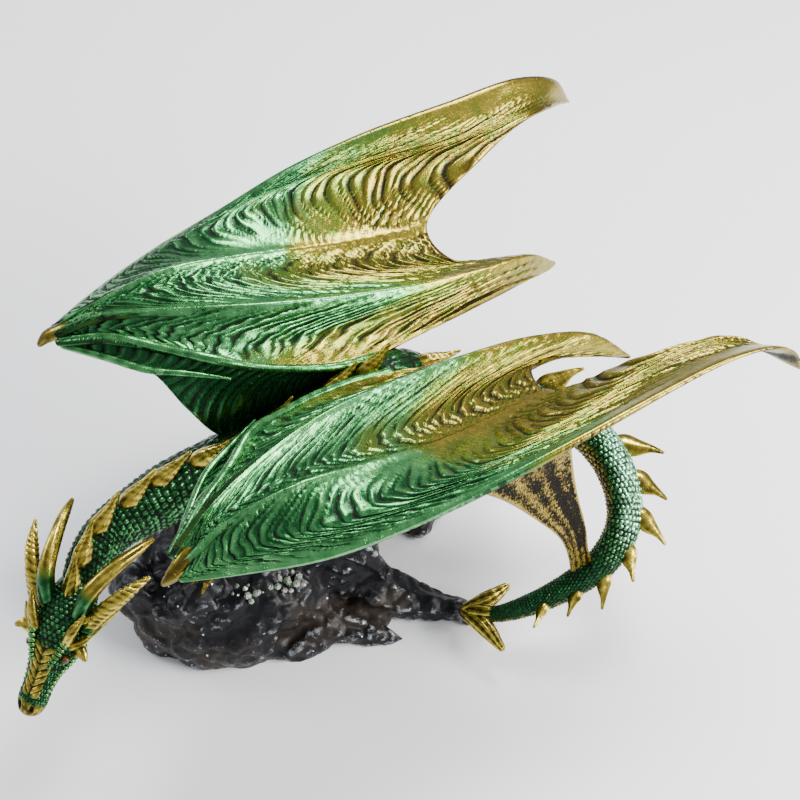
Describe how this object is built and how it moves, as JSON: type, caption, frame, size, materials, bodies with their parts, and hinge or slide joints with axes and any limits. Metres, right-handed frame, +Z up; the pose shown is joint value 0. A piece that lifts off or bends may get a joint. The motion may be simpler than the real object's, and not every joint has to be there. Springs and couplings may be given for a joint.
{
  "type": "dragon statue",
  "caption": "Winged dragon figurine crouching on a rock base, wings raised, tail curled round to one side, with a small crystal patch in the rock.",
  "frame": {"origin": "on the flat underside of the rock base, under the dragon's shoulders, on the wings' plane of symmetry", "axes": "+Z up from the surface it stands on; the dragon looks along -Y; +X is the dragon's left, where the tail loops round"},
  "size_m": [0.251, 0.419, 0.1966],
  "materials": {
    "dragon_paint": "metallic green paint over cast resin, gold tips, dark wash in the grooves",
    "rock_paint": "black semi-gloss paint over cast resin, dry-brushed silver edges",
    "crystal": "translucent pale green resin with glitter"
  },
  "bodies": {
    "root": {"dragon": "dragon_paint", "rock_base": "rock_paint", "crystal_cluster": "crystal"}
  },
  "joints": []
}
